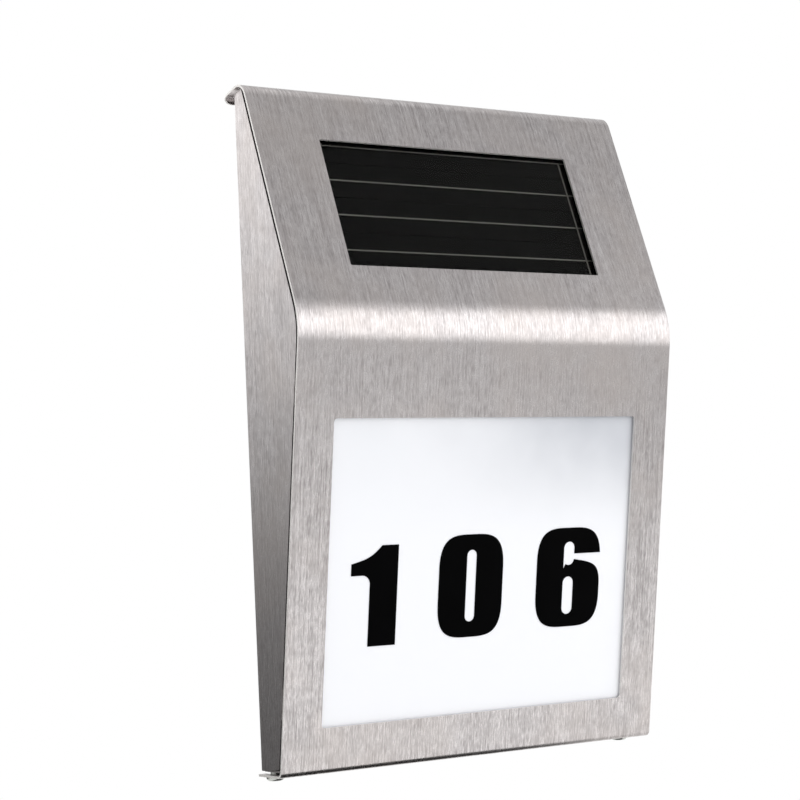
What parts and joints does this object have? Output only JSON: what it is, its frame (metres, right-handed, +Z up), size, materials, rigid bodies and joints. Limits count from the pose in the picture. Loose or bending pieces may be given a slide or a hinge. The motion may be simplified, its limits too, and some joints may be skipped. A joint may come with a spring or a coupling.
{
  "type": "illuminated house number sign",
  "caption": "Bent steel house number sign for a wall, with a solar panel in its upper face and a lit white panel with numerals below; the cover tilts out from a screwed-on tray.",
  "frame": {"origin": "centre of the four wall holes, on the wall plane that the tray's pads rest on", "axes": "+X to the right as seen from the front, +Y towards the wall, +Z up"},
  "size_m": [0.12, 0.0356, 0.183],
  "materials": {
    "brushed_sheet": "brushed lengthwise",
    "plated_steel": "zinc plated",
    "black_foam": "matt",
    "panel_glass": "clear",
    "cell_silicon": "dark, smooth",
    "tinned_copper": "tinned",
    "black_board": "matt",
    "black_plastic": "fine grain",
    "battery_metal": "nickel plated",
    "battery_film": "gloss",
    "nickel_strip": "nickel plated",
    "green_board": "solder mask",
    "clear_resin": "clear",
    "chip_resin": "matt",
    "choke_coat": "lacquer",
    "capacitor_can": "bare with a dark end band",
    "white_plastic": "satin",
    "white_acrylic": "opal",
    "black_film": "satin",
    "red_insulation": "smooth",
    "black_insulation": "smooth"
  },
  "bodies": {
    "tray": {"back_tray": "brushed_sheet", "cover_screws": "plated_steel"},
    "cover": {"front_cover": "brushed_sheet", "cover_studs": "plated_steel", "stud_washers": "plated_steel", "stud_nuts": "plated_steel", "solar_tape": "black_foam", "solar_glass": "panel_glass", "solar_cells": "cell_silicon", "cell_ribbons": "tinned_copper", "cell_busbar": "tinned_copper", "solar_board": "black_board", "upper_housing": "black_plastic", "battery_can": "battery_metal", "battery_sleeve": "battery_film", "contact_plus": "nickel_strip", "contact_minus": "nickel_strip", "contact_spring": "nickel_strip", "circuit_board": "green_board", "board_screws": "plated_steel", "leds": "clear_resin", "led_leads": "tinned_copper", "driver_chip": "chip_resin", "choke": "choke_coat", "capacitor": "capacitor_can", "switch_body": "nickel_strip", "switch_pins": "tinned_copper", "light_box": "white_plastic", "diffuser": "white_acrylic", "diffuser_tape": "black_foam", "digit_one": "black_film", "digit_zero": "black_film", "digit_six": "black_film", "solar_wire_red": "red_insulation", "solar_wire_black": "black_insulation", "battery_wire_red": "red_insulation", "battery_wire_black": "black_insulation", "switch_wires": "red_insulation"},
    "battery_door": {"battery_door": "black_plastic"},
    "switch_slider": {"switch_slider": "black_plastic"}
  },
  "joints": [
    {"name": "cover_tilt", "type": "hinge", "parent": "tray", "child": "cover", "pos_m": [0, -0.0038, 0.08476], "axis": [-1, 0, 0], "range_deg": [0, 45]},
    {"name": "battery_door_slide", "type": "slide", "parent": "cover", "child": "battery_door", "axis": [1, 0, 0], "range_m": [0, 0.006]},
    {"name": "switch_slide", "type": "slide", "parent": "cover", "child": "switch_slider", "axis": [1, 0, 0], "range_m": [0, 0.002]}
  ]
}
